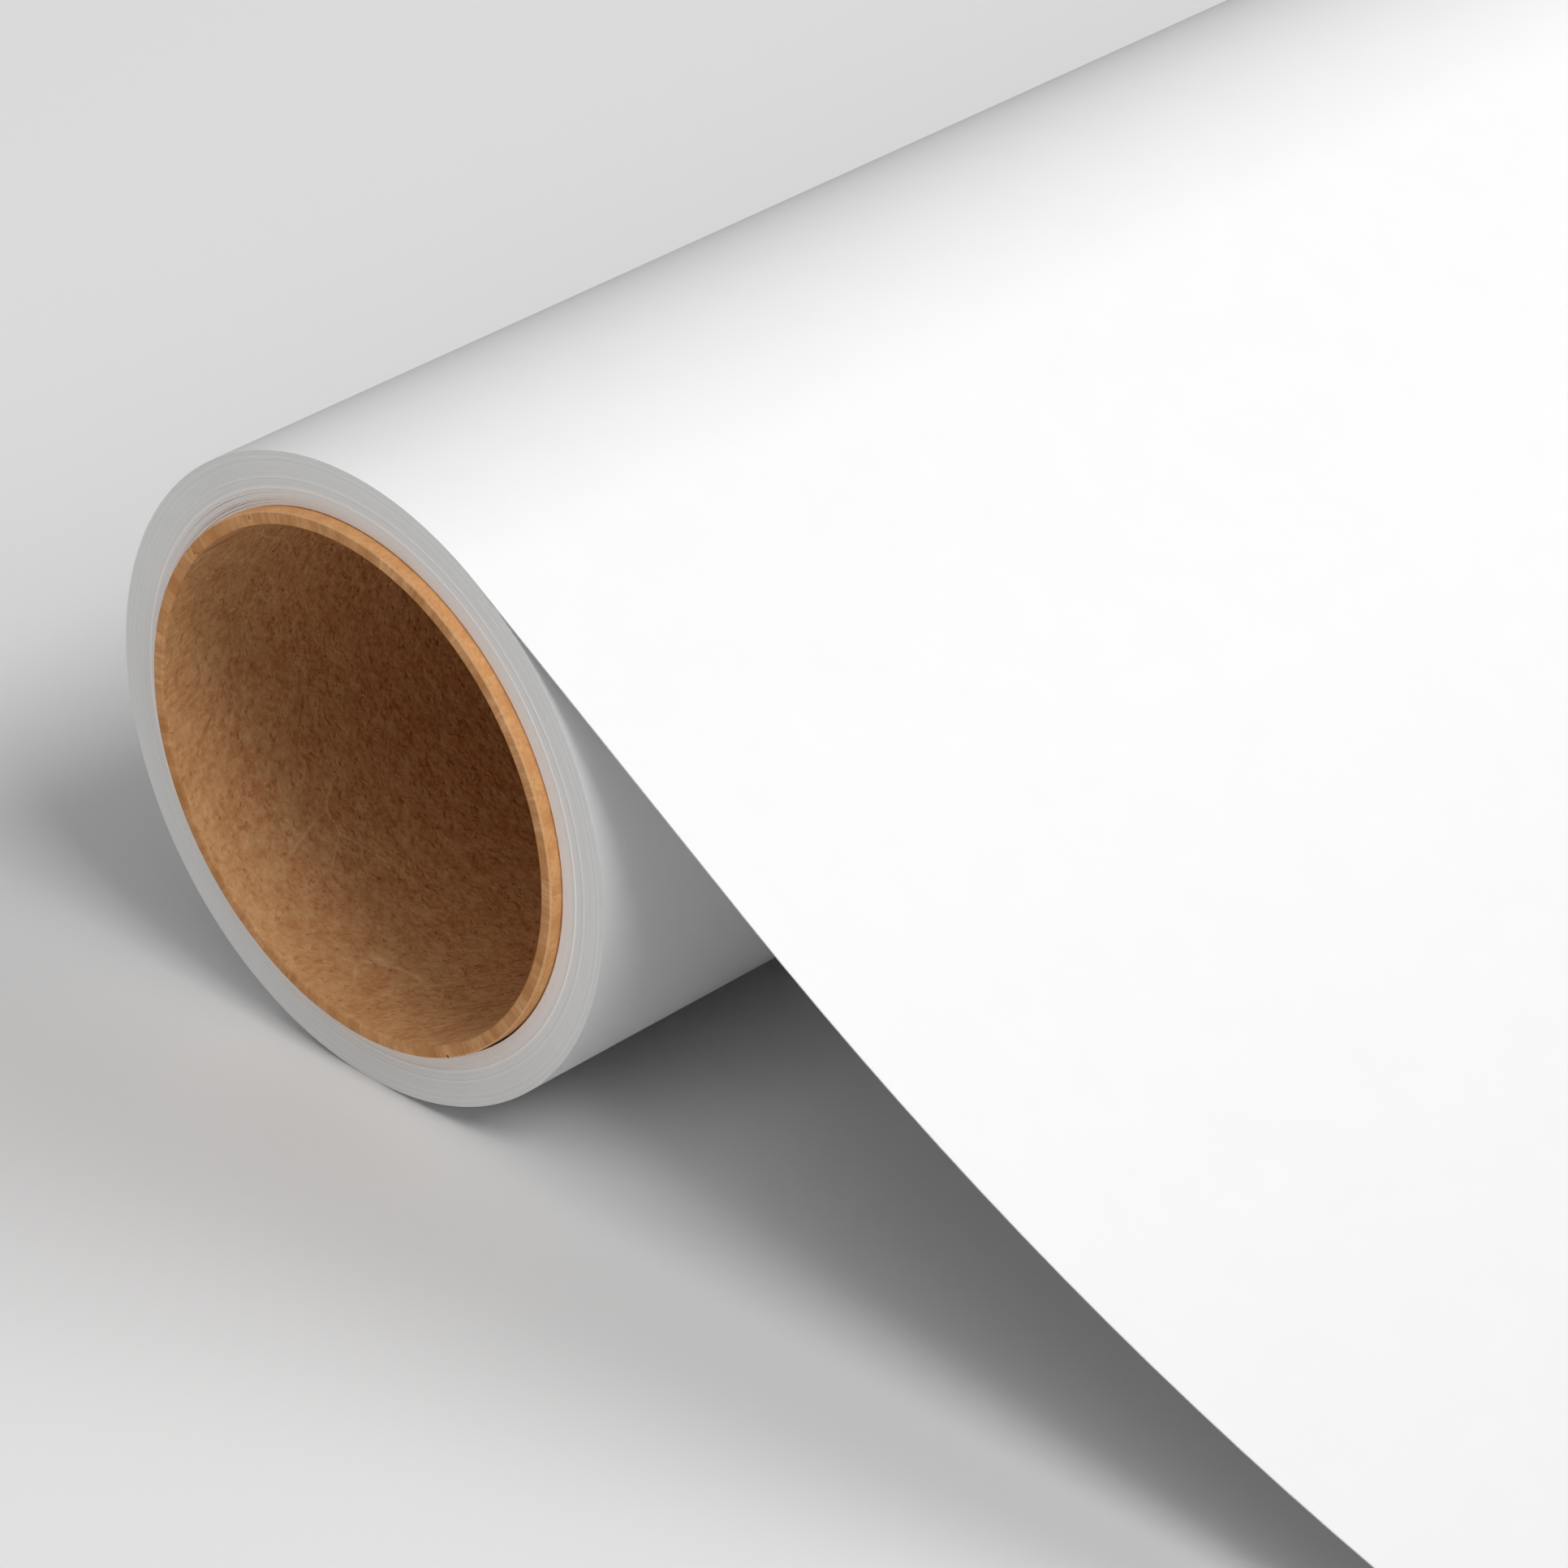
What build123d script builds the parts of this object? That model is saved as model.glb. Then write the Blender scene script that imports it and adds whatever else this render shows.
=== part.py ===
"""Backdrop paper roll: a spiral-wound paperboard core, the paper wound on it, and the sheet that
is drawn off its top and down to the floor.

Millimetres. X is the axis of the core, with the origin halfway along its bore. +Z is up, and the
sheet runs out towards -Y. The roll and the sheet lie on a floor at z = -roll_radius.
"""

from build123d import *

import os
from math import cos, pi, radians, sin

os.makedirs("parts", exist_ok=True)

# ---- Driving dimensions -------------------------------------------------------------------------

# Core: plies of paperboard, wound and glued on one another round a three-inch mandrel.
bore_radius = 38.1
ply_thickness = 0.5
ply_names = ["core_liner_ply", "core_body_ply_inner", "core_body_ply_outer", "core_outer_ply"]
core_radius = bore_radius + ply_thickness * len(ply_names)

# Paper: one web, 1.35 m wide, wound on the core.
paper_width = 1350.0
paper_thickness = 0.2
wound_depth = 8.0
roll_radius = core_radius + wound_depth

# The core stands out of the paper at each end.
core_overhang = 2.0
core_length = paper_width + 2 * core_overhang

# The first wraps stand a little proud of the later ones, in two steps.
first_band_radius = core_radius + 2.7
second_band_radius = core_radius + 4.2
band_step = 0.25

# Strips of tape that hold the start of the paper to the core, at each end and in the middle.
tape_thickness = 0.15
tape_width = 48.0
tape_wrap_angle = 80.0
tape_inset = 60.0

# Free sheet: it leaves the roll at this slope, runs straight, then eases down flat on the floor.
sheet_slope = 31.0
straight_run = 58.0
sheet_clearance = 0.1

# The sheet's leading end can be wound back and drawn out by these turns of the roll.
wind_back_angle = 60.0
draw_out_angle = 360.0
overlap_spare = 16.0
flat_run = 340.0
lead_showing = 92.0

# ---- Worked out from them -----------------------------------------------------------------------

floor_z = -roll_radius
half_width = paper_width / 2
feed_per_degree = pi * roll_radius / 180
draw_out_travel = draw_out_angle * feed_per_degree

# Upper surface of the sheet, from the top of the roll to the floor. The lower surface clears the
# roll, and clears the leading end that slides out from under the flat part.
wrap_radius = roll_radius + sheet_clearance + paper_thickness
slope = radians(sheet_slope)
leave_y = -wrap_radius * sin(slope)
leave_z = wrap_radius * cos(slope)
bend_y = leave_y - straight_run * cos(slope)
bend_z = leave_z - straight_run * sin(slope)
flat_z = floor_z + sheet_clearance + 2 * paper_thickness
easing_radius = (bend_z - flat_z) / (1 - cos(slope))
touch_y = bend_y - easing_radius * sin(slope)
front_y = touch_y - flat_run

# ---- Core ---------------------------------------------------------------------------------------


def wind_ply(inner_radius, label):
    """One ply of the core, a tube over its full length."""
    with BuildPart() as ply:
        with BuildSketch(Plane.YZ.offset(-core_length / 2)):
            Circle(inner_radius + ply_thickness)
            Circle(inner_radius, mode=Mode.SUBTRACT)
        extrude(amount=core_length)
    ply.part.label = label
    export_step(ply.part, f"parts/{label}.step")


for ply_index, ply_name in enumerate(ply_names):
    wind_ply(bore_radius + ply_index * ply_thickness, ply_name)

# ---- Start tapes, on the core under the first wrap ----------------------------------------------

tape_centres = {
    "start_tape_near": -half_width + tape_inset + tape_width / 2,
    "start_tape_middle": 0.0,
    "start_tape_far": half_width - tape_inset - tape_width / 2,
}
tape_centre_radius = core_radius + tape_thickness / 2

for tape_name, centre_x in tape_centres.items():
    with BuildPart() as start_tape:
        with BuildSketch(Plane.XY):
            with Locations((centre_x, tape_centre_radius)):
                Rectangle(tape_width, tape_thickness)
        revolve(axis=Axis.X, revolution_arc=tape_wrap_angle)
    start_tape.part.label = tape_name
    export_step(start_tape.part, f"parts/{tape_name}.step")

# ---- Wound paper --------------------------------------------------------------------------------

with BuildPart() as wound_paper:
    with BuildSketch(Plane.YZ.offset(-half_width)):
        Circle(roll_radius)
        Circle(core_radius, mode=Mode.SUBTRACT)
    extrude(amount=paper_width)
    # The proud bands of the first wraps, at both ends.
    for band_index, band_radius in enumerate([second_band_radius, first_band_radius]):
        band_end = half_width + band_step * (band_index + 1)
        with BuildSketch(Plane.YZ.offset(-band_end)):
            Circle(band_radius)
            Circle(core_radius, mode=Mode.SUBTRACT)
        extrude(amount=2 * band_end)
    # Room for the start tapes under the first wrap.
    with BuildSketch(Plane.XY):
        with Locations([(centre_x, tape_centre_radius) for centre_x in tape_centres.values()]):
            Rectangle(tape_width, tape_thickness)
    revolve(axis=Axis.X, revolution_arc=tape_wrap_angle, mode=Mode.SUBTRACT)

wound_paper.part.label = "wound_paper"
export_step(wound_paper.part, "parts/wound_paper.step")

# ---- Free sheet ---------------------------------------------------------------------------------

with BuildPart() as paper_sheet:
    with BuildSketch(Plane.YZ.offset(-half_width)):
        with BuildLine():
            on_roll = CenterArc((0, 0), wrap_radius, 90, sheet_slope)
            straight = Line(on_roll @ 1, (bend_y, bend_z))
            easing = RadiusArc(straight @ 1, (touch_y, flat_z), easing_radius)
            flat = Line(easing @ 1, (front_y, flat_z))
            offset(amount=paper_thickness, side=Side.LEFT)
        make_face()
    extrude(amount=paper_width)

paper_sheet.part.label = "paper_sheet"
export_step(paper_sheet.part, "parts/paper_sheet.step")

# ---- Leading end of the sheet, on the floor -----------------------------------------------------

lead_back_y = front_y + draw_out_travel + overlap_spare
lead_front_y = front_y - lead_showing

with BuildPart() as sheet_lead:
    with BuildSketch(Plane.XY.offset(floor_z)):
        with Locations((0, (lead_back_y + lead_front_y) / 2)):
            Rectangle(paper_width, lead_back_y - lead_front_y)
    extrude(amount=paper_thickness)

sheet_lead.part.label = "sheet_lead"
export_step(sheet_lead.part, "parts/sheet_lead.step")

# ---- Figures that the record states -------------------------------------------------------------

print(f"roll_radius {roll_radius:.2f} core_radius {core_radius:.2f} core_length {core_length:.1f}")
print(f"easing_radius {easing_radius:.2f} touch_y {touch_y:.2f} front_y {front_y:.2f}")
print(f"lead from y {lead_back_y:.2f} to {lead_front_y:.2f}")
print(f"feed {draw_out_travel:.2f} out, {wind_back_angle * feed_per_degree:.2f} back")
sheet_length = sum(edge.length for edge in [on_roll, straight, easing, flat]) + lead_showing
print(f"free sheet, flat: {paper_width:.0f} x {sheet_length:.1f}")
wound_length = pi * (roll_radius**2 - core_radius**2) / paper_thickness
print(f"wound length {wound_length:.0f}")
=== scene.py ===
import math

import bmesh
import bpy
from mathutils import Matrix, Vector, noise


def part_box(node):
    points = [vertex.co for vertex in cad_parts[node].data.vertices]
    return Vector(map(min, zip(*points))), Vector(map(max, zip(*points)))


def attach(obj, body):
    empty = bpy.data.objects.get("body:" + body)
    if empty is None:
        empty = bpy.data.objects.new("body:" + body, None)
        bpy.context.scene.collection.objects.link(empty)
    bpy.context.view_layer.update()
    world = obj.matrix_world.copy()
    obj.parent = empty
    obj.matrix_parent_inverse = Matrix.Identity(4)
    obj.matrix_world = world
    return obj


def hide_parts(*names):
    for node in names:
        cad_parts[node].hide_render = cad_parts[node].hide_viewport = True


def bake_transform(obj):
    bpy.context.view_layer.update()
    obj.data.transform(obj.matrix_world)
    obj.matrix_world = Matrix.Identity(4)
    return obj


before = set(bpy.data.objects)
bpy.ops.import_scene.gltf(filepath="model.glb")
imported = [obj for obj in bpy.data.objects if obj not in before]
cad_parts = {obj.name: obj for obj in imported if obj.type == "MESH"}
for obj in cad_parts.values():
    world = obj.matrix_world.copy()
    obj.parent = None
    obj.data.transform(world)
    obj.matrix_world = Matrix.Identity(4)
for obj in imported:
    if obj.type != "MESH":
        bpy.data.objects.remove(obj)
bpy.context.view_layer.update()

# Looks of the backdrop paper roll: a core of plies wound in helices, the paper web wound on it as a
# true spiral, and the sheet drawn off its top and down to the floor. Metres, with the core's axis
# along X.

MM = 0.001

# ---- Sizes, from the frame ----------------------------------------------------------------------

core_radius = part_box("core_outer_ply")[1][1]
roll_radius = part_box("wound_paper")[1][1]
core_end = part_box("core_outer_ply")[1][0]
half_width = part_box("paper_sheet")[1][0]
front_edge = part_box("sheet_lead")[0][1]
floor_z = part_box("sheet_lead")[0][2]

ply_thickness = 0.5 * MM
bore_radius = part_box("core_liner_ply")[1][1] - ply_thickness
paper = 0.2 * MM
tape_thickness = 0.15 * MM

# A hair's breadth. It keeps surfaces that touch out of one another, and is a tolerance for edges.
HAIR = 0.01 * MM

# Two bands of the first wraps stand proud, at these distances out from the core, in millimetres. The
# slit edges' material paints a highlight on them.
FIRST_BAND = 2.7
SECOND_BAND = 4.2

# ---- Modelling helpers --------------------------------------------------------------------------

SMOOTH_ANGLE = math.radians(40)


def deselect():
    bpy.ops.object.select_all(action="DESELECT")


def apply_modifier(piece, kind, **settings):
    bpy.context.view_layer.objects.active = piece
    modifier = piece.modifiers.new(kind.title(), kind)
    for name, value in settings.items():
        setattr(modifier, name, value)
    bpy.ops.object.modifier_apply(modifier=modifier.name)


def radius_of(point):
    return math.hypot(point[1], point[2])


def point_outwards(piece):
    """Turns a wall's faces so that their normals point away from the core's axis."""
    face = piece.data.polygons[0]
    if face.normal.y * face.center.y + face.normal.z * face.center.z < 0:
        piece.data.flip_normals()


def smooth_walls(piece):
    deselect()
    piece.select_set(True)
    bpy.context.view_layer.objects.active = piece
    bpy.ops.object.shade_smooth_by_angle(angle=SMOOTH_ANGLE)


# ---- Materials ----------------------------------------------------------------------------------


def colour(hex_code):
    """An sRGB hex colour as linear RGBA."""
    parts = [int(hex_code[i : i + 2], 16) / 255 for i in (1, 3, 5)]
    linear = [p / 12.92 if p <= 0.04045 else ((p + 0.055) / 1.055) ** 2.4 for p in parts]
    return (*linear, 1.0)


def add_node(tree, kind, inputs=None, **settings):
    """Adds a node with its settings. An input takes a value, or the node or socket that feeds it."""
    added = tree.nodes.new(kind)
    for name, value in settings.items():
        setattr(added, name, value)
    for key, value in (inputs or {}).items():
        if isinstance(value, bpy.types.Node):
            value = value.outputs[0]
        if isinstance(value, bpy.types.NodeSocket):
            tree.links.new(value, added.inputs[key])
        else:
            added.inputs[key].default_value = value
    return added


def start_material(name):
    """A material, its tree, and the place on the object in millimetres."""
    material = bpy.data.materials.new(name)
    material.use_nodes = True
    tree = material.node_tree
    tree.nodes.clear()
    place = add_node(tree, "ShaderNodeTexCoord").outputs["Object"]
    in_mm = add_node(tree, "ShaderNodeVectorMath", {0: place, "Scale": 1 / MM}, operation="SCALE")
    return material, tree, in_mm


def finish_material(tree, base, normal, roughness, ior, specular):
    """Ends a tree in a shader, whose constants are on its own sockets."""
    shader = add_node(tree, "ShaderNodeBsdfPrincipled", {"Base Color": base, "Normal": normal})
    shader.inputs["Roughness"].default_value = roughness
    shader.inputs["IOR"].default_value = ior
    shader.inputs["Specular IOR Level"].default_value = specular
    add_node(tree, "ShaderNodeOutputMaterial", {"Surface": shader})


def unroll(tree, in_mm):
    """Length round the core, distance from its axis and length along it, in millimetres."""
    parts = add_node(tree, "ShaderNodeSeparateXYZ", {0: in_mm})
    across_y, across_z = parts.outputs[1], parts.outputs[2]
    angle = add_node(tree, "ShaderNodeMath", {0: across_z, 1: across_y}, operation="ARCTAN2")
    around = add_node(tree, "ShaderNodeMath", {0: angle, 1: core_radius / MM}, operation="MULTIPLY")
    across = add_node(tree, "ShaderNodeCombineXYZ", {1: across_y, 2: across_z})
    outward = add_node(tree, "ShaderNodeVectorMath", {0: across}, operation="LENGTH")
    return around, outward.outputs["Value"], parts.outputs[0]


def make_backdrop_paper():
    """Uncoated wood-free paper, calendered: an even matt white with a faint cloud of fibres."""
    material, tree, in_mm = start_material("calendered_white_paper")
    clouds = add_node(tree, "ShaderNodeTexNoise", {"Vector": in_mm, "Scale": 0.12, "Detail": 3.0})
    fibres = add_node(tree, "ShaderNodeTexNoise", {"Vector": in_mm, "Scale": 2.2, "Detail": 4.0})
    base = add_node(
        tree, "ShaderNodeMix", {0: clouds, 6: colour("#ECECEC"), 7: colour("#EFEFEF")},
        data_type="RGBA",
    )
    relief = add_node(
        tree, "ShaderNodeBump", {"Height": fibres, "Distance": 0.02 * MM, "Strength": 0.4}
    )
    finish_material(tree, base.outputs[2], relief, 0.86, 1.48, 0.35)
    return material


def make_slit_edges():
    """The same paper slit across: wraps edge on, each catching a little more or less light."""
    material, tree, in_mm = start_material("slit_paper_edges")
    outward = unroll(tree, in_mm)[1]
    wraps = add_node(
        tree, "ShaderNodeTexNoise", {"W": outward, "Scale": 2.6, "Detail": 3.0, "Roughness": 0.8},
        noise_dimensions="1D",
    )
    lines = add_node(tree, "ShaderNodeMapRange", {"Value": wraps, 1: 0.3, 2: 0.7})
    plain = add_node(
        tree, "ShaderNodeMix", {0: lines, 6: colour("#E1E1E0"), 7: colour("#EDEDEC")},
        data_type="RGBA",
    )
    # The first wraps are painted faintly warm: painted light, for the light the core bounces on to
    # them.
    core_bounce_mask = add_node(
        tree, "ShaderNodeMapRange",
        {"Value": outward, 1: core_radius / MM + 4.0, 2: core_radius / MM + 0.5, 3: 0.0, 4: 0.8},
    )
    core_bounce_tint = add_node(
        tree, "ShaderNodeMix", {0: core_bounce_mask, 6: plain.outputs[2], 7: colour("#F2EBE7")},
        data_type="RGBA",
    )
    # The proud bands are painted as pale lines: a painted highlight, for the light their raised
    # wraps catch.
    first = add_node(
        tree, "ShaderNodeMath", {0: outward, 1: core_radius / MM + FIRST_BAND, 2: 0.18},
        operation="COMPARE",
    )
    second = add_node(
        tree, "ShaderNodeMath", {0: outward, 1: core_radius / MM + SECOND_BAND, 2: 0.07},
        operation="COMPARE",
    )
    band_highlight = add_node(tree, "ShaderNodeMath", {0: first, 1: second}, operation="ADD")
    base = add_node(
        tree, "ShaderNodeMix", {0: band_highlight, 6: core_bounce_tint.outputs[2], 7: colour("#F6F2F0")},
        data_type="RGBA",
    )
    relief = add_node(
        tree, "ShaderNodeBump", {"Height": lines, "Distance": 0.03 * MM, "Strength": 0.4}
    )
    finish_material(tree, base.outputs[2], relief, 0.92, 1.48, 0.2)
    return material


def make_kraft_liner():
    """Brown kraft liner, pressed on a mandrel: mottled, pitted and lightly creased, with painted
    light at its mouths.
    """
    material, tree, in_mm = start_material("pressed_kraft_liner")
    # Clouds of pulp, 2 to 6 mm across, from red brown to tan.
    clouds = add_node(
        tree, "ShaderNodeTexNoise", {"Vector": in_mm, "Scale": 0.3, "Detail": 5.0, "Roughness": 0.6}
    )
    cloud_mix = add_node(tree, "ShaderNodeMapRange", {"Value": clouds, 1: 0.36, 2: 0.64})
    board = add_node(
        tree, "ShaderNodeMix", {0: cloud_mix, 6: colour("#BF8250"), 7: colour("#D2A06D")},
        data_type="RGBA",
    )
    # Fibre bundles, 0.5 to 1 mm across and a little longer along the core.
    lie = add_node(tree, "ShaderNodeVectorMath", {0: in_mm, 1: (0.7, 1, 1)}, operation="MULTIPLY")
    bundles = add_node(
        tree, "ShaderNodeTexNoise", {"Vector": lie, "Scale": 1.2, "Detail": 3.0, "Roughness": 0.6}
    )
    bundle_mix = add_node(
        tree, "ShaderNodeMapRange", {"Value": bundles, 1: 0.4, 2: 0.7, 3: 0.0, 4: 0.55}
    )
    grained = add_node(
        tree, "ShaderNodeMix", {0: bundle_mix, 6: board.outputs[2], 7: colour("#E0B381")},
        data_type="RGBA",
    )
    # Pits, where fibres have pulled away.
    specks = add_node(tree, "ShaderNodeTexNoise", {"Vector": in_mm, "Scale": 0.9, "Detail": 2.0})
    pits = add_node(
        tree, "ShaderNodeMapRange", {"Value": specks, 1: 0.58, 2: 0.75, 3: 0.0, 4: 0.35}
    )
    pitted = add_node(
        tree, "ShaderNodeMix", {0: pits, 6: grained.outputs[2], 7: colour("#8A5731")},
        data_type="RGBA",
    )
    # Creases: a few bent ridges 10 to 30 mm long and about a millimetre wide, rubbed pale.
    bends = add_node(
        tree, "ShaderNodeTexNoise", {"Vector": in_mm, "Scale": 0.04, "Detail": 1.0},
        normalize=False,
    )
    wander = add_node(
        tree, "ShaderNodeVectorMath", {0: bends.outputs["Color"], "Scale": 12.0}, operation="SCALE"
    )
    shifted = add_node(tree, "ShaderNodeVectorMath", {0: in_mm, 1: wander}, operation="ADD")
    folds = add_node(
        tree, "ShaderNodeTexVoronoi", {"Vector": shifted, "Scale": 0.04},
        feature="DISTANCE_TO_EDGE",
    )
    ridges = add_node(
        tree, "ShaderNodeMapRange", {"Value": folds, 1: 0.0, 2: 0.022, 3: 1.0, 4: 0.0}
    )
    patches = add_node(tree, "ShaderNodeTexNoise", {"Vector": in_mm, "Scale": 0.06})
    where = add_node(
        tree, "ShaderNodeMapRange", {"Value": patches, 1: 0.53, 2: 0.63, 3: 0.0, 4: 0.7}
    )
    creases = add_node(tree, "ShaderNodeMath", {0: ridges, 1: where}, operation="MULTIPLY")
    rubbed = add_node(tree, "ShaderNodeMath", {0: creases, 1: 0.5}, operation="MULTIPLY")
    creased = add_node(
        tree, "ShaderNodeMix", {0: rubbed, 6: pitted.outputs[2], 7: colour("#EBC497")},
        data_type="RGBA",
    )
    # The mouth is painted paler over its first 11 mm at each end: painted light, for the light that
    # falls into the bore.
    mouth_light_depth = 11
    parts = add_node(tree, "ShaderNodeSeparateXYZ", {0: in_mm})
    along = add_node(tree, "ShaderNodeMath", {0: parts}, operation="ABSOLUTE")
    mouth_light = add_node(
        tree, "ShaderNodeMapRange",
        {"Value": along, 1: core_end / MM - mouth_light_depth, 2: core_end / MM, 3: 0.0, 4: 0.35},
    )
    base = add_node(
        tree, "ShaderNodeMix", {0: mouth_light, 6: creased.outputs[2], 7: colour("#E0AC74")},
        data_type="RGBA",
    )
    # Pebbles, 1 to 2 mm across, with the fibre bundles on them and the pits let in.
    pebbles = add_node(
        tree, "ShaderNodeTexNoise", {"Vector": in_mm, "Scale": 0.65, "Detail": 1.0}
    )
    grain = add_node(
        tree, "ShaderNodeMath", {0: bundles, 1: 0.5, 2: pebbles}, operation="MULTIPLY_ADD"
    )
    dents = add_node(tree, "ShaderNodeMath", {0: grain, 1: pits}, operation="SUBTRACT")
    height = add_node(
        tree, "ShaderNodeMath", {0: creases, 1: 0.25, 2: dents}, operation="MULTIPLY_ADD"
    )
    relief = add_node(
        tree, "ShaderNodeBump", {"Height": height, "Distance": 0.38 * MM, "Strength": 1.0}
    )
    finish_material(tree, base.outputs[2], relief, 0.65, 1.5, 0.35)
    return material


def make_board(name, low, high, streak, streak_share):
    """Paperboard. Cut across, its fibres show as radial streaks; on its face they are a mottle."""
    material, tree, in_mm = start_material(name)
    around, outward, along = unroll(tree, in_mm)
    # Streaks lie 0.4 to 0.7 mm apart and run in the direction of the cut.
    slow = add_node(tree, "ShaderNodeMath", {0: outward, 1: streak_share}, operation="MULTIPLY")
    cut = add_node(tree, "ShaderNodeCombineXYZ", {0: around, 1: slow, 2: along})
    streaks = add_node(
        tree, "ShaderNodeTexNoise", {"Vector": cut, "Scale": 1.5, "Detail": 3.0, "Roughness": 0.6}
    )
    streak_mix = add_node(
        tree, "ShaderNodeMapRange", {"Value": streaks, 1: 0.35, 2: 0.75, 3: 0.0, 4: 0.7}
    )
    patches = add_node(tree, "ShaderNodeTexNoise", {"Vector": cut, "Scale": 0.25, "Detail": 3.0})
    patch_mix = add_node(tree, "ShaderNodeMapRange", {"Value": patches, 1: 0.36, 2: 0.64})
    board = add_node(
        tree, "ShaderNodeMix", {0: patch_mix, 6: colour(low), 7: colour(high)}, data_type="RGBA"
    )
    base = add_node(
        tree, "ShaderNodeMix", {0: streak_mix, 6: board.outputs[2], 7: colour(streak)},
        data_type="RGBA",
    )
    relief = add_node(
        tree, "ShaderNodeBump", {"Height": streaks, "Distance": 0.12 * MM, "Strength": 0.8}
    )
    finish_material(tree, base.outputs[2], relief, 0.8, 1.5, 0.3)
    return material


def make_creped_tape():
    """Creped paper tape: buff, with fine cross wrinkles, which let it stretch round the core."""
    material, tree, in_mm = start_material("creped_paper_tape")
    around = unroll(tree, in_mm)[0]
    wrinkles = add_node(
        tree, "ShaderNodeTexNoise", {"W": around, "Scale": 1.2, "Detail": 3.0},
        noise_dimensions="1D",
    )
    base = add_node(
        tree, "ShaderNodeMix", {0: wrinkles, 6: colour("#C9B37C"), 7: colour("#DCCB9B")},
        data_type="RGBA",
    )
    relief = add_node(
        tree, "ShaderNodeBump", {"Height": wrinkles, "Distance": 0.05 * MM, "Strength": 0.8}
    )
    finish_material(tree, base.outputs[2], relief, 0.7, 1.5, 0.4)
    return material


backdrop_paper = make_backdrop_paper()
slit_edges = make_slit_edges()
kraft_liner = make_kraft_liner()
sawn_board = make_board("sawn_paperboard", "#C3864D", "#E3AC78", "#A26F42", 0.25)
wound_board = make_board("wound_paperboard", "#DB9C62", "#EDB57C", "#C98E58", 1.0)
# A pale board for the outer ply's rounded ridge: a painted highlight.
highlit_ridge_board = make_board("highlit_paperboard_ridge", "#DDA977", "#EBBB8A", "#CB9665", 0.25)
# A dark board for the strips' edges and the inner body ply's wall, seen in the seams: painted shade.
seam_shade_board = make_board("seam_shade_paperboard", "#6E4526", "#7C5230", "#5A3820", 1.0)
creped_tape = make_creped_tape()

# ---- Core ---------------------------------------------------------------------------------------

SEAM_GAP = 0.8 * MM
STEPS_PER_TURN = 144
CORNER_WEAR = 0.38 * MM
CORNER_BAND = 0.5 * MM


def start_strip(name, from_x, to_x, angle, radius):
    """The strip's starting edge, along X, made from a plane. It is left selected."""
    deselect()
    place_y, place_z = radius * math.cos(angle), radius * math.sin(angle)
    bpy.ops.mesh.primitive_plane_add(
        size=1.0, location=((from_x + to_x) / 2, place_y, place_z), enter_editmode=True
    )
    piece = bpy.context.object
    piece.name = name
    mesh = bmesh.from_edit_mesh(piece.data)
    for vertex in mesh.verts:
        vertex.select_set(vertex.co.y > 0)
    mesh.select_flush(False)
    bpy.ops.mesh.delete(type="VERT")
    bpy.ops.mesh.select_all(action="SELECT")
    bpy.ops.transform.resize(value=(to_x - from_x, 1, 1))
    bpy.ops.transform.translate(value=(0, 0.5, 0))
    bpy.ops.object.mode_set(mode="OBJECT")
    bpy.ops.object.transform_apply(location=True, rotation=True, scale=True)
    return piece


def wind_ply(name, inner_radius, pitch, seam_angle):
    """One ply: a strip wound in a helix, with a narrow gap at its seam, trimmed at the core's ends.

    Its seam meets the near end at seam_angle, in degrees from +Y towards +Z."""
    start_x = -core_end - pitch
    ply = start_strip(
        name, start_x + SEAM_GAP, start_x + pitch, math.radians(seam_angle), inner_radius
    )
    apply_modifier(
        ply, "SCREW", axis="X", angle=2 * math.pi, screw_offset=pitch, steps=STEPS_PER_TURN,
        render_steps=STEPS_PER_TURN, iterations=math.ceil(2 * core_end / pitch) + 2,
        use_merge_vertices=True, merge_threshold=0.001 * MM,
    )
    bpy.ops.object.mode_set(mode="EDIT")
    for end, side in ((-core_end, -1), (core_end, 1)):
        bpy.ops.mesh.select_all(action="SELECT")
        bpy.ops.mesh.bisect(
            plane_co=(end, 0, 0), plane_no=(side, 0, 0), clear_outer=True, threshold=1e-6
        )
    bpy.ops.mesh.select_all(action="SELECT")
    bpy.ops.mesh.normals_make_consistent(inside=False)
    bpy.ops.object.mode_set(mode="OBJECT")
    point_outwards(ply)
    apply_modifier(ply, "SOLIDIFY", thickness=ply_thickness, offset=1.0)
    return ply


def wear_end_corner(ply, corner_radius):
    """Rounds the arris round each end at this radius."""
    bpy.ops.object.mode_set(mode="EDIT")
    bpy.ops.mesh.select_mode(type="EDGE")
    bpy.ops.mesh.select_all(action="DESELECT")
    mesh = bmesh.from_edit_mesh(ply.data)
    for edge in mesh.edges:
        at_end = all(abs(abs(v.co.x) - core_end) < HAIR for v in edge.verts)
        at_corner = all(abs(radius_of(v.co) - corner_radius) < 2 * HAIR for v in edge.verts)
        edge.select_set(at_end and at_corner)
    bmesh.update_edit_mesh(ply.data)
    bpy.ops.mesh.bevel(offset=CORNER_WEAR, segments=4, affect="EDGES")
    bpy.ops.object.mode_set(mode="OBJECT")


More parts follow.
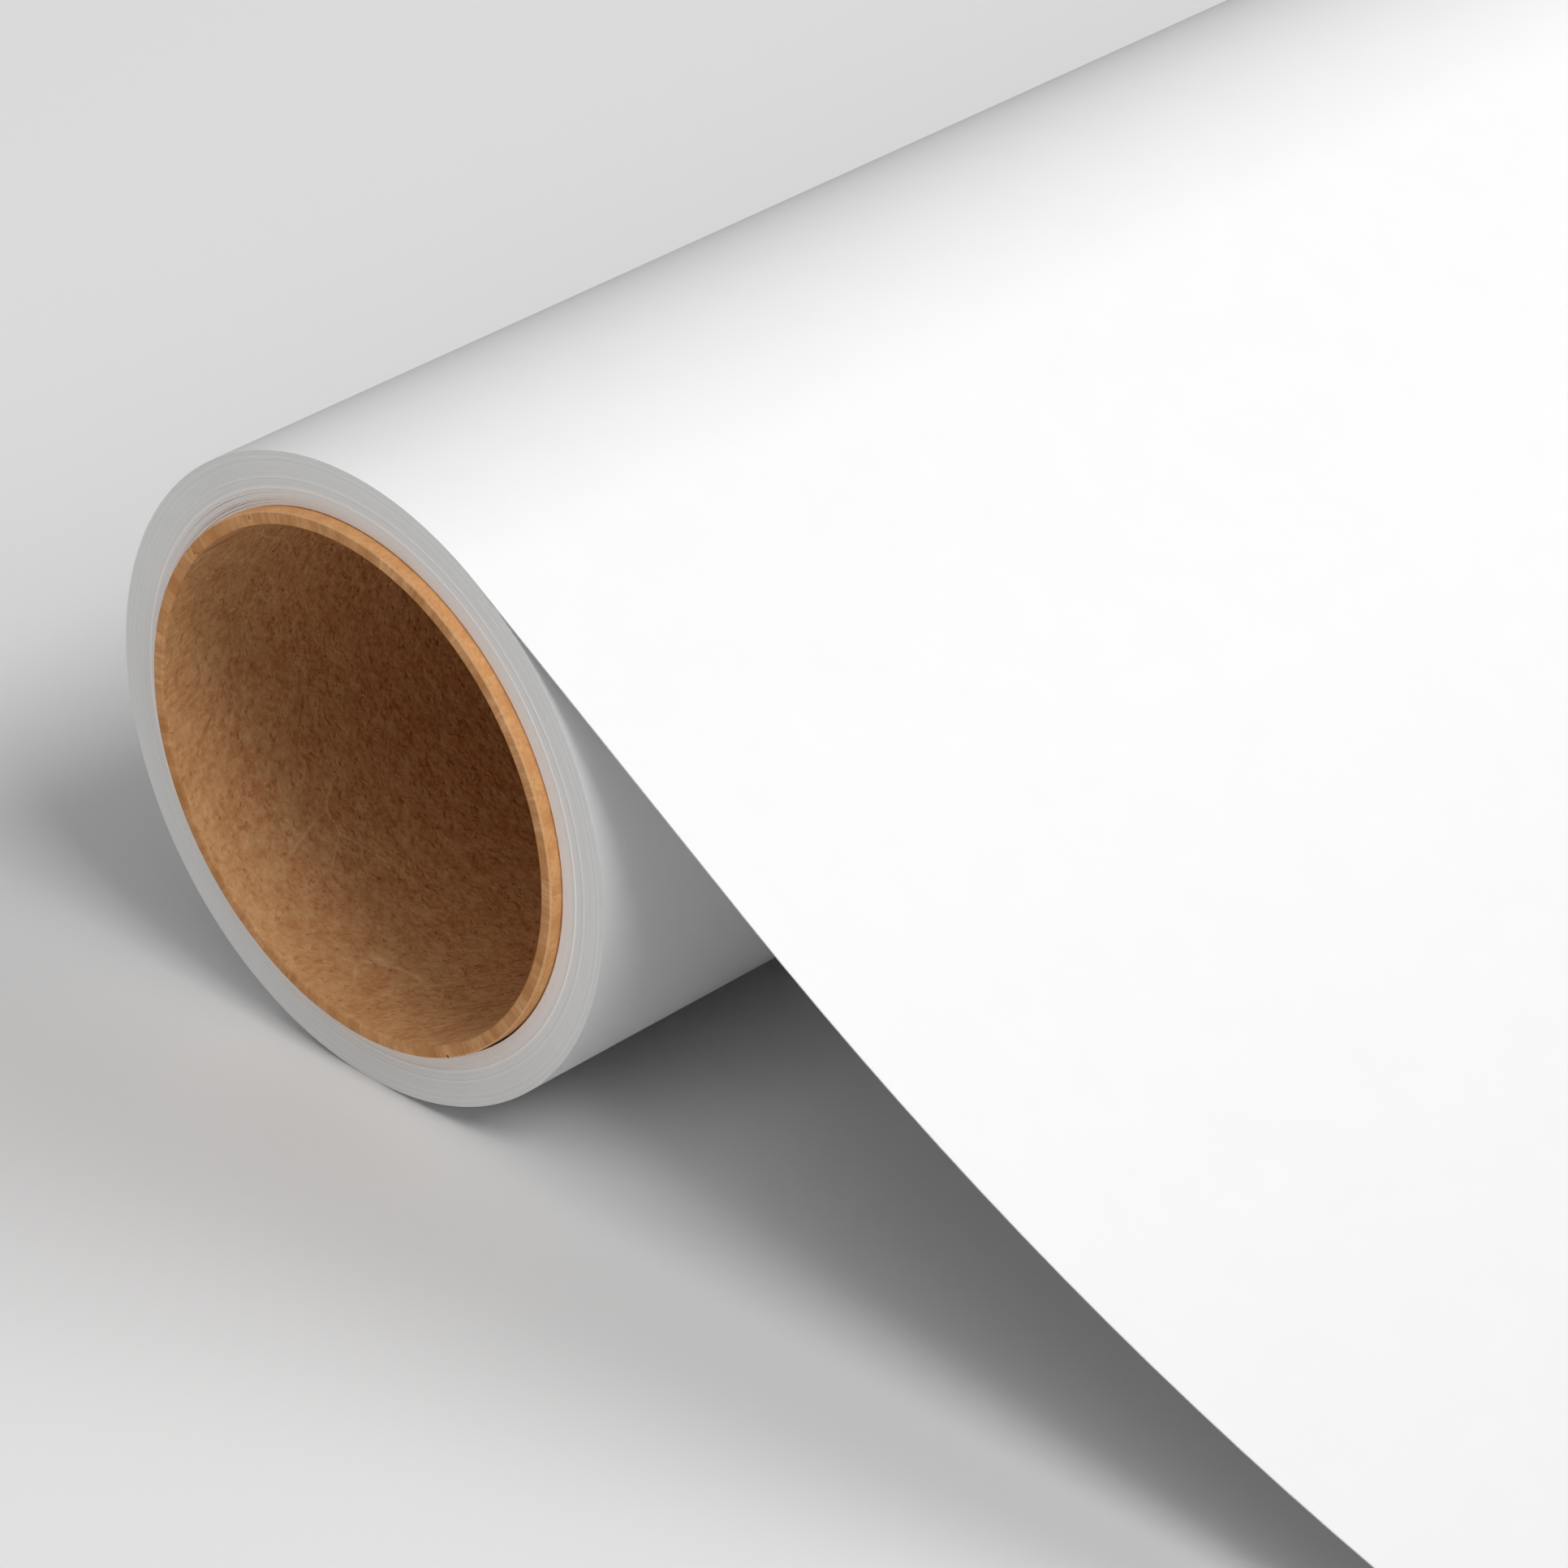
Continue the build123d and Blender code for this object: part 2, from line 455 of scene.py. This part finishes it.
def finish_ply(ply, wall, corner):
    """Walls, cut ends, worn corners and the strip's glued edges each take their own material. The
    glued edges take a dark board, painted shade for the seam, and a pale corner board is a painted
    highlight.
    """
    ply.data.materials.clear()
    for material in (wall, sawn_board, corner, seam_shade_board):
        ply.data.materials.append(material)
    for face in ply.data.polygons:
        outward = Vector((0, face.center.y, face.center.z)).normalized()
        is_wall = abs(face.normal.dot(outward)) > 0.9
        near_end = abs(abs(face.center.x) - core_end) < CORNER_BAND
        if abs(face.normal.x) > 0.97:
            face.material_index = 1
        elif near_end and not is_wall:
            face.material_index = 2
        elif not is_wall:
            face.material_index = 3
    smooth_walls(ply)


# node, pitch of the helix, angle of the seam at the near end, and the walls' and corners' material
PLIES = [
    ("core_liner_ply", 0.620, 41.0, kraft_liner, sawn_board),
    # The inner body ply's wall shows only through the liner's seam, in the dark board with painted
    # shade.
    ("core_body_ply_inner", 0.560, 40.0, seam_shade_board, sawn_board),
    ("core_body_ply_outer", 0.590, 63.0, wound_board, sawn_board),
    # The outer ply's rounded corner takes the pale board with a painted highlight.
    ("core_outer_ply", 0.640, -118.0, wound_board, highlit_ridge_board),
]

for index, (node, pitch, seam_angle, wall, corner) in enumerate(PLIES):
    ply = wind_ply(node + "_wound", bore_radius + index * ply_thickness, pitch, seam_angle)
    if node == "core_liner_ply":
        wear_end_corner(ply, bore_radius)
    if node == "core_outer_ply":
        wear_end_corner(ply, core_radius)
    finish_ply(ply, wall, corner)
    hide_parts(node)
    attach(ply, "roll")

for node in ("start_tape_near", "start_tape_middle", "start_tape_far"):
    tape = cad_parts[node]
    tape.data.materials.clear()
    tape.data.materials.append(creped_tape)

# ---- Paper --------------------------------------------------------------------------------------


def lay_paper(name, line, thickness):
    """Paper of the roll's full width along a line of (y, z) points, with the core side first."""
    deselect()
    curve = bpy.data.curves.new(name, "CURVE")
    curve.dimensions = "3D"
    run = curve.splines.new("POLY")
    run.points.add(len(line) - 1)
    for point, (y, z) in zip(run.points, line):
        point.co = (y, z, 0, 1)
    curve.extrude = half_width
    piece = bpy.data.objects.new(name, curve)
    bpy.context.collection.objects.link(piece)
    piece.rotation_euler = (math.pi / 2, 0, math.pi / 2)
    piece.select_set(True)
    bpy.context.view_layer.objects.active = piece
    bpy.ops.object.convert(target="MESH")
    bpy.ops.object.transform_apply(location=True, rotation=True, scale=True)
    point_outwards(piece)
    apply_modifier(piece, "SOLIDIFY", thickness=thickness, offset=1.0)
    return piece


def finish_paper(piece):
    """Both faces take the white paper, and the slit edges their own finish."""
    piece.data.materials.clear()
    piece.data.materials.append(backdrop_paper)
    piece.data.materials.append(slit_edges)
    for face in piece.data.polygons:
        face.material_index = int(abs(face.normal.x) > 0.5)
    smooth_walls(piece)


# ---- Wound web ----------------------------------------------------------------------------------

WRAP_STEPS = 128
WEB_SHARE = 0.93  # of the paper's thickness, so that a wrap doesn't lie in the next
SLACK_ANGLE = 50  # degrees round the roll from +Y towards +Z
SLACK_SPREAD = 22

# Wraps out from the core, and how far each lies open on its slack side.
SLACK_WRAPS = [(2, 0.05 * MM), (4, 0.07 * MM), (5, 0.04 * MM), (9, 0.05 * MM)]

first_wrap_radius = core_radius + tape_thickness + HAIR
web_radius = roll_radius - paper - HAIR
wrap_turns = (web_radius - first_wrap_radius) / paper - 0.02


def wrap_radius_at(turns):
    """The core side of the web. Its first wraps lie slack on one side, which opens thin gaps."""
    radius = first_wrap_radius + paper * turns
    slack_side = math.exp(-(((turns % 1) * 360 - SLACK_ANGLE) / SLACK_SPREAD) ** 2)
    for slack_wrap, opening in SLACK_WRAPS:
        if turns < slack_wrap:
            radius -= opening * slack_side
    return max(radius, core_radius + HAIR)


def telescope(wraps_out):
    """How far a wrap stands out of the end: a little unevenly, and more at the two proud bands."""
    wander = noise.noise(Vector((wraps_out * 0.37, 3.1, 0))) * 0.05 * MM
    wander += noise.noise(Vector((wraps_out * 1.9, 8.4, 0))) * 0.04 * MM
    for band, reach in ((FIRST_BAND, 0.09 * MM), (SECOND_BAND, 0.05 * MM)):
        proud_wrap = band * MM / paper
        wander += reach * math.exp(-(((wraps_out - proud_wrap) / 0.8) ** 2))
    return wander


def wind_web():
    """The whole web as one ribbon in a spiral, kept inside the sheet's own last wrap."""
    line = []
    for step in range(round(wrap_turns * WRAP_STEPS) + 1):
        turns = step / WRAP_STEPS
        radius = wrap_radius_at(turns)
        angle = 2 * math.pi * turns
        line.append((radius * math.cos(angle), radius * math.sin(angle)))
    web = lay_paper("wound_web", line, WEB_SHARE * paper)
    for vertex in web.data.vertices:
        radius = radius_of(vertex.co)
        trim = min(1.0, web_radius / radius)
        vertex.co.y *= trim
        vertex.co.z *= trim
        reach = telescope((radius - core_radius) / paper)
        vertex.co.x += math.copysign(reach, vertex.co.x)
    return web


wound_web = wind_web()
finish_paper(wound_web)
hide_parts("wound_paper")
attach(wound_web, "roll")

# ---- Drawn sheet --------------------------------------------------------------------------------

# The last wrap and the sheet are one piece. It goes once round the roll, then leaves it, runs
# straight down, and eases on to the floor.
slope = math.radians(31)
straight_run = 58 * MM
last_wrap = math.radians(355)
curl_length = 130 * MM
curl_height = 3.5 * MM

# Pieces that each stretch of the sheet's line is drawn in.
LAST_WRAP_STEPS = 177
STRAIGHT_STEPS = 4
EASING_STEPS = 28
FLAT_STEPS = 50

leave_angle = math.pi / 2 + slope
tuck_angle = leave_angle - last_wrap
last_wrap_radius = roll_radius - paper

bend_y = last_wrap_radius * math.cos(leave_angle) - straight_run * math.cos(slope)
bend_z = last_wrap_radius * math.sin(leave_angle) - straight_run * math.sin(slope)
easing_radius = (bend_z - floor_z) / (1 - math.cos(slope))
touch_y = bend_y - easing_radius * math.sin(slope)
flat_run = touch_y - front_edge


def lift_at(distance):
    """The leading end's curl: a low arch behind its edge, left by its time on the roll."""
    curl_start = flat_run - curl_length
    share = (distance - curl_start) / (flat_run - curl_start)
    return curl_height * math.sin(math.pi * share) ** 2 if share > 0 else 0.0


def draw_sheet():
    line = []
    for step in range(LAST_WRAP_STEPS + 1):
        angle = tuck_angle + (leave_angle - tuck_angle) * step / LAST_WRAP_STEPS
        line.append((last_wrap_radius * math.cos(angle), last_wrap_radius * math.sin(angle)))
    leave_y, leave_z = line[-1]
    for step in range(1, STRAIGHT_STEPS + 1):
        place_y = leave_y + (bend_y - leave_y) * step / STRAIGHT_STEPS
        place_z = leave_z + (bend_z - leave_z) * step / STRAIGHT_STEPS
        line.append((place_y, place_z))
    for step in range(1, EASING_STEPS + 1):
        angle = slope * (1 - step / EASING_STEPS)
        place_y = touch_y + easing_radius * math.sin(angle)
        line.append((place_y, floor_z + easing_radius * (1 - math.cos(angle))))
    for step in range(1, FLAT_STEPS + 1):
        distance = flat_run * step / FLAT_STEPS
        line.append((touch_y - distance, floor_z + lift_at(distance)))
    return lay_paper("drawn_sheet", line, paper)


drawn_sheet = draw_sheet()
finish_paper(drawn_sheet)
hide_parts("paper_sheet", "sheet_lead")
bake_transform(drawn_sheet)

# ---- Floor, light and camera --------------------------------------------------------------------

FLOOR_SIZE = 9
SOFTBOX_DISTANCE = 5.0
CAMERA_DISTANCE = 0.951

# Azimuth in degrees from +X towards +Y, elevation in degrees, width and height in metres, watts.
SOFTBOXES = {
    "front_softbox": (-54, 35, 3.4, 2.6, 182),
    "key_softbox": (-110, 48, 1.6, 1.6, 95),
    "upper_softbox": (-150, 60, 3.0, 2.4, 40),
    "side_softbox": (180, 12, 3.0, 2.4, 30),
    "back_softbox": (90, 35, 3.4, 2.6, 30),
}


def add_floor():
    deselect()
    bpy.ops.mesh.primitive_plane_add(size=FLOOR_SIZE, location=(0, 0, floor_z - 2 * HAIR))
    floor = bpy.context.object
    floor.name = "studio_floor"
    material = bpy.data.materials.new("pale_studio_floor")
    material.use_nodes = True
    shader = material.node_tree.nodes["Principled BSDF"]
    shader.inputs["Base Color"].default_value = colour("#EAEAEA")
    shader.inputs["Roughness"].default_value = 0.9
    floor.data.materials.append(material)


def add_softbox(name, azimuth, elevation, width, height, watts):
    """A rectangular light aimed at the roll."""
    light = bpy.data.lights.new(name, "AREA")
    light.shape = "RECTANGLE"
    light.size = width
    light.size_y = height
    light.energy = watts
    softbox = bpy.data.objects.new(name, light)
    bpy.context.collection.objects.link(softbox)
    turn, rise = math.radians(azimuth), math.radians(elevation)
    away = Vector(
        (math.cos(rise) * math.cos(turn), math.cos(rise) * math.sin(turn), math.sin(rise))
    )
    softbox.location = away * SOFTBOX_DISTANCE
    softbox.rotation_euler = (-away).to_track_quat("-Z", "Y").to_euler()


def add_world(fill, backdrop):
    """A white studio: it lights the object at the fill's strength, and shows at the backdrop's."""
    world = bpy.data.worlds.new("studio")
    world.use_nodes = True
    tree = world.node_tree
    tree.nodes.clear()
    seen = add_node(tree, "ShaderNodeLightPath").outputs["Is Camera Ray"]
    strength = add_node(tree, "ShaderNodeMapRange", {"Value": seen, 3: fill, 4: backdrop})
    studio = add_node(tree, "ShaderNodeBackground", {0: (1, 1, 1, 1), 1: strength})
    add_node(tree, "ShaderNodeOutputWorld", {"Surface": studio})
    bpy.context.scene.world = world


def add_camera():
    """Looks along the roll from its near end, in front of it and above."""
    azimuth, elevation = math.radians(44.70), math.radians(31.24)
    look = Vector(
        (
            math.cos(elevation) * math.cos(azimuth),
            math.cos(elevation) * math.sin(azimuth),
            -math.sin(elevation),
        )
    )
    aim = Vector((-half_width + 34.3 * MM, -47.7 * MM, 5.3 * MM))
    camera = bpy.data.objects.new("camera", bpy.data.cameras.new("camera"))
    bpy.context.collection.objects.link(camera)
    camera.location = aim - look * CAMERA_DISTANCE
    camera.rotation_euler = look.to_track_quat("-Z", "Y").to_euler()
    camera.data.sensor_width = 36
    camera.data.lens = 162.1
    bpy.context.scene.camera = camera


add_floor()
add_world(fill=0.06, backdrop=0.8)
for name, setting in SOFTBOXES.items():
    add_softbox(name, *setting)
add_camera()
bpy.context.scene.view_settings.view_transform = "Standard"
